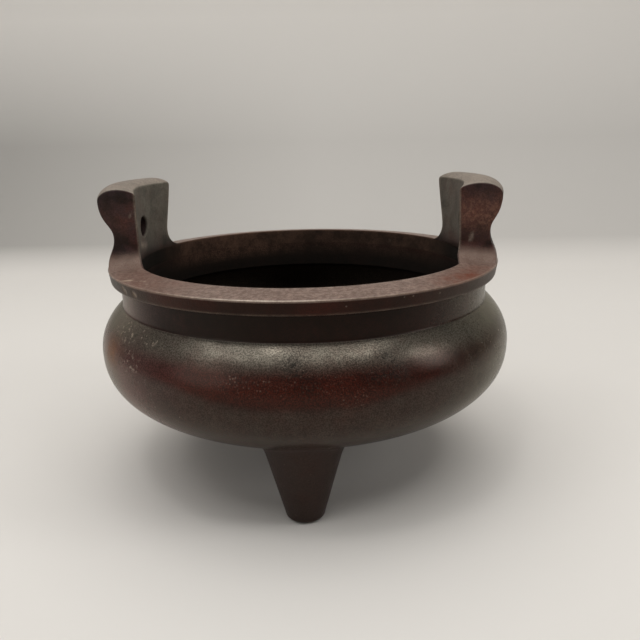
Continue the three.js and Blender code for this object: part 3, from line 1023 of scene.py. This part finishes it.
def mattPaper():
    # matt pale paper with hardly any gloss, and painted shade that makes it greyer behind the bowl and to
    # its left
    material, tree = newMaterial("matt_paper")
    place = addNode(tree, "SeparateXYZ", (addNode(tree, "TexCoord")["Object"],))
    ranges = {key: [v * mm for v in stage[key]] for key in ("shadeStart", "shadeEnd", "leftwards")}
    rising = addNode(tree, "MapRange", (place["Z"], *ranges["shadeStart"]))[0]
    fading = addNode(tree, "MapRange", (place["Z"], *ranges["shadeEnd"]))[0]
    aside = addNode(tree, "MapRange", (place["X"], *ranges["leftwards"], *stage["shadeShares"]))[0]
    paintedShade = addNode(tree, "Math", (rising, fading), operation="MULTIPLY")[0]
    paintedShade = addNode(tree, "Math", (paintedShade, aside), operation="MULTIPLY")[0]
    shade = addNode(tree, "Mix", {
        0: paintedShade, 6: linear(stage["pale"]), 7: linear(stage["grey"])}, data_type="RGBA")[2]
    paper = addNode(tree, "BsdfPrincipled", {
        "Base Color": shade, "Roughness": stage["roughness"], "Specular IOR Level": stage["gloss"]})
    addNode(tree, "OutputMaterial", {"Surface": paper[0]})
    return material


def makeStage():
    # level floor, a quarter circle up, then an upright wall
    t = np.linspace(0, np.pi / 2, stage["bendPoints"])
    along = stage["bendStart"] + stage["bendRadius"] * np.sin(t)
    up = stage["bendRadius"] * (1 - np.cos(t))
    line = [(stage["front"], 0), *zip(along, up), (along[-1], stage["height"])]
    points = np.array([(side * stage["width"] / 2, y, z) for side in (-1, 1) for y, z in line]) * mm
    count = len(line)
    faces = [(i, count + i, count + i + 1, i + 1) for i in range(count - 1)]
    mesh = bpy.data.meshes.new("paper_sweep")
    mesh.from_pydata(points.tolist(), [], faces)
    mesh.polygons.foreach_set("use_smooth", np.ones(count - 1, bool))
    mesh.materials.append(mattPaper())
    sweep = bpy.data.objects.new("paper_sweep", mesh)
    bpy.context.scene.collection.objects.link(sweep)


makeStage()


# Light

lampAim = np.array([0, 0, 50])
# size is across, and tall is the other way where a lamp isn't round; power is in watts
lamps = {
    "overheadWide": {"place": (-60, -130, 1100), "size": 1500, "power": 11.9},
    "overheadNear": {"place": (-190, -330, 1020), "size": 150, "power": 0.7},
    "leftHigh": {"place": (-640, -330, 820), "size": 480, "power": 0.95},
    "rightHigh": {"place": (420, -350, 880), "size": 180, "power": 0.3},
    "rightLow": {"place": (840, -235, 500), "size": 260, "tall": 560, "power": 2.2},
    "leftLow": {"place": (-700, -560, 330), "size": 600, "power": 1.8},
}
for lampName, lamp in lamps.items():
    data = bpy.data.lights.new(lampName, "AREA")
    data.shape = "ELLIPSE"
    data.size = lamp["size"] * mm
    data.size_y = lamp.get("tall", lamp["size"]) * mm
    data.energy = lamp["power"]
    light = bpy.data.objects.new(lampName, data)
    toBowl = lampAim - np.array(lamp["place"], float)
    light.location = [v * mm for v in lamp["place"]]
    light.rotation_euler = (math.acos(-toBowl[2] / np.linalg.norm(toBowl)), 0,
                            math.atan2(toBowl[1], toBowl[0]) - math.pi / 2)
    bpy.context.scene.collection.objects.link(light)

room = {
    "litFront": "#353331",
    "litBack": "#b8b5b0",
    "litStrength": 0.57,
    "seenFront": "#75726e",
    "seenBack": "#9a9792",
    "frontToBack": (-0.6, 0.5),
}


def makeWorld():
    # A plain grey room, darker towards the front, which the camera and the reflections see as it is. The
    # soft light that it gives is fainter and falls off faster towards the front.
    world = bpy.data.worlds.new("paleRoom")
    world.use_nodes = True
    tree = world.node_tree
    tree.nodes.clear()
    way = addNode(tree, "SeparateXYZ", (addNode(tree, "TexCoord")["Generated"],))
    toBack = addNode(tree, "MapRange", (way["Y"], *room["frontToBack"]))[0]
    backgrounds = []
    kinds = (("litFront", "litBack", room["litStrength"]), ("seenFront", "seenBack", 1.0))
    for front, back, strength in kinds:
        grey = addNode(tree, "Mix", {
            0: toBack, 6: linear(room[front]), 7: linear(room[back])}, data_type="RGBA")[2]
        backgrounds.append(addNode(tree, "Background", {"Color": grey, "Strength": strength})[0])
    path = addNode(tree, "LightPath")
    seen = path["Is Camera Ray"]
    for ray in ("Is Transmission Ray", "Is Glossy Ray"):
        seen = addNode(tree, "Math", (seen, path[ray]), operation="MAXIMUM")[0]
    both = addNode(tree, "MixShader", (seen, *backgrounds))
    addNode(tree, "OutputWorld", {"Surface": both[0]})
    bpy.context.scene.world = world


makeWorld()
print("stage and light made")


# Camera, for a frame of 640 by 640 pixels; focal is in pixels and sensor in millimetres

view = {
    "place": (7.8, -225.9, 115.5),
    "yaw": -0.65,
    "pitch": 15.96,
    "roll": -1.16,
    "focal": 642.9,
    "frame": 640,
    "sensor": 36.0,
    "nearest": 10,
}
cameraData = bpy.data.cameras.new("frontView")
cameraData.sensor_width = view["sensor"]
cameraData.lens = view["focal"] / view["frame"] * view["sensor"]
cameraData.clip_start = view["nearest"] * mm
camera = bpy.data.objects.new("frontView", cameraData)
turn = Matrix.Rotation(-math.radians(view["yaw"]), 4, "Z")
tilt = Matrix.Rotation(math.radians(90 - view["pitch"]), 4, "X")
lean = Matrix.Rotation(math.radians(view["roll"]), 4, "Z")
camera.matrix_world = Matrix.Translation([v * mm for v in view["place"]]) @ turn @ tilt @ lean
bpy.context.scene.collection.objects.link(camera)
bpy.context.scene.camera = camera
bpy.context.scene.view_settings.view_transform = "Standard"
print("camera set")
